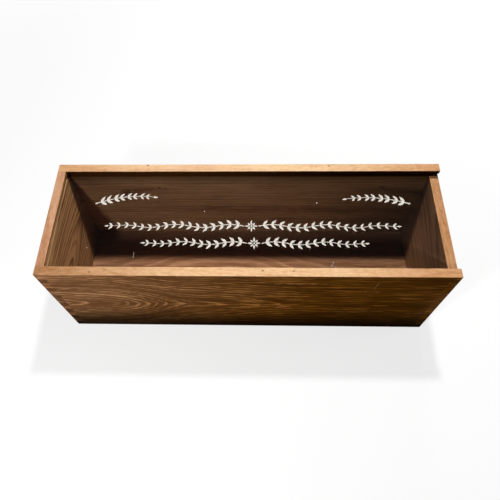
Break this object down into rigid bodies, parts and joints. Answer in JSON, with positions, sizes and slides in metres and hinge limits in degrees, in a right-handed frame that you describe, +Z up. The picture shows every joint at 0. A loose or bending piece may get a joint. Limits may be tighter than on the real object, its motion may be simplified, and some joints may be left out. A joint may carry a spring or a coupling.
{
  "type": "wine box",
  "caption": "Stained wooden gift box for one bottle, with finger-jointed corners and a clear lid that slides out in grooves under the rim.",
  "frame": {"origin": "middle of the box's outline, on the surface that it stands on", "axes": "+X along the box to the end where the lid slides out, +Y to the rear wall, +Z up to the rim"},
  "size_m": [0.35, 0.114, 0.119],
  "materials": {
    "stained_pine": "brown stain, satin, with bare sanded wood on the rim",
    "clear_acrylic": "clear and polished, with a frosted engraved ornament"
  },
  "bodies": {
    "box": {"front_wall": "stained_pine", "rear_wall": "stained_pine", "left_end_wall": "stained_pine", "right_end_wall": "stained_pine", "bottom_panel": "stained_pine"},
    "lid": {"sliding_lid": "clear_acrylic"}
  },
  "joints": [
    {"name": "lid_slide", "type": "slide", "parent": "box", "child": "lid", "axis": [1, 0, 0], "range_m": [0, 0.35]}
  ]
}
